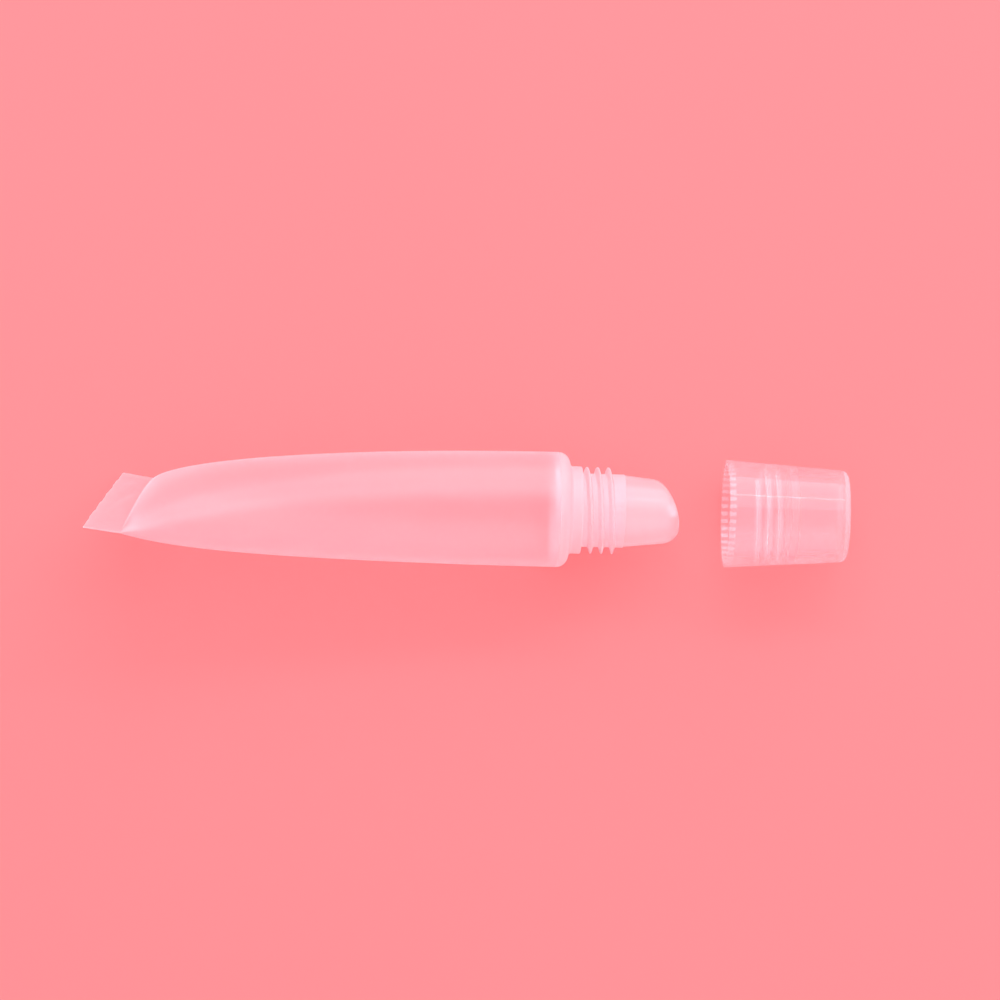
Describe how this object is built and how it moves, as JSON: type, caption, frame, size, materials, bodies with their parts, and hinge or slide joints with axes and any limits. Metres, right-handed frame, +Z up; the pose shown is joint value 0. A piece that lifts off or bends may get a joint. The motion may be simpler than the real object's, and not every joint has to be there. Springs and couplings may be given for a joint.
{
  "type": "lip gloss squeeze tube",
  "caption": "Open lip gloss squeeze tube with a crimped tail, a screw neck, a slanted applicator tip and a tapered screw cap with a seal ring.",
  "frame": {"origin": "bottom centre of the bounding box of the tube and its cap, on the surface that they lie on", "axes": "+X along the row, from the crimped tail to the cap's closed end; +Y sideways; +Z up. The tube's own axis slopes down towards +X by 3.16 degrees, because the wide flat tail props it up."},
  "size_m": [0.1056, 0.016, 0.0243],
  "materials": {
    "sleeve_plastic": "natural soft polyethylene, thin and frosted, lets light through",
    "neck_plastic": "natural polyethylene moulding, milky",
    "tip_plastic": "smooth milky polyethylene, soft sheen",
    "cap_plastic": "natural polypropylene, translucent, glossy outside",
    "seal_soft": "translucent soft elastomer"
  },
  "bodies": {
    "tube": {"sleeve": "sleeve_plastic", "shoulder_neck": "neck_plastic", "applicator_tip": "tip_plastic"},
    "seal": {"seal_ring": "seal_soft"},
    "cap": {"cap": "cap_plastic"}
  },
  "joints": [
    {"name": "cap_advance", "type": "slide", "parent": "tube", "child": "seal", "axis": [-0.9985, 0, 0.0552], "range_m": [0, 0.0215]},
    {"name": "cap_turn", "type": "hinge", "parent": "seal", "child": "cap", "pos_m": [0.0435, 0, 0.00709], "axis": [-0.9985, 0, 0.0552], "range_deg": [0, 5160]}
  ],
  "couplings": [
    {"joint": "cap_turn", "follows": "cap_advance", "rad_per_m": 4188.8}
  ]
}
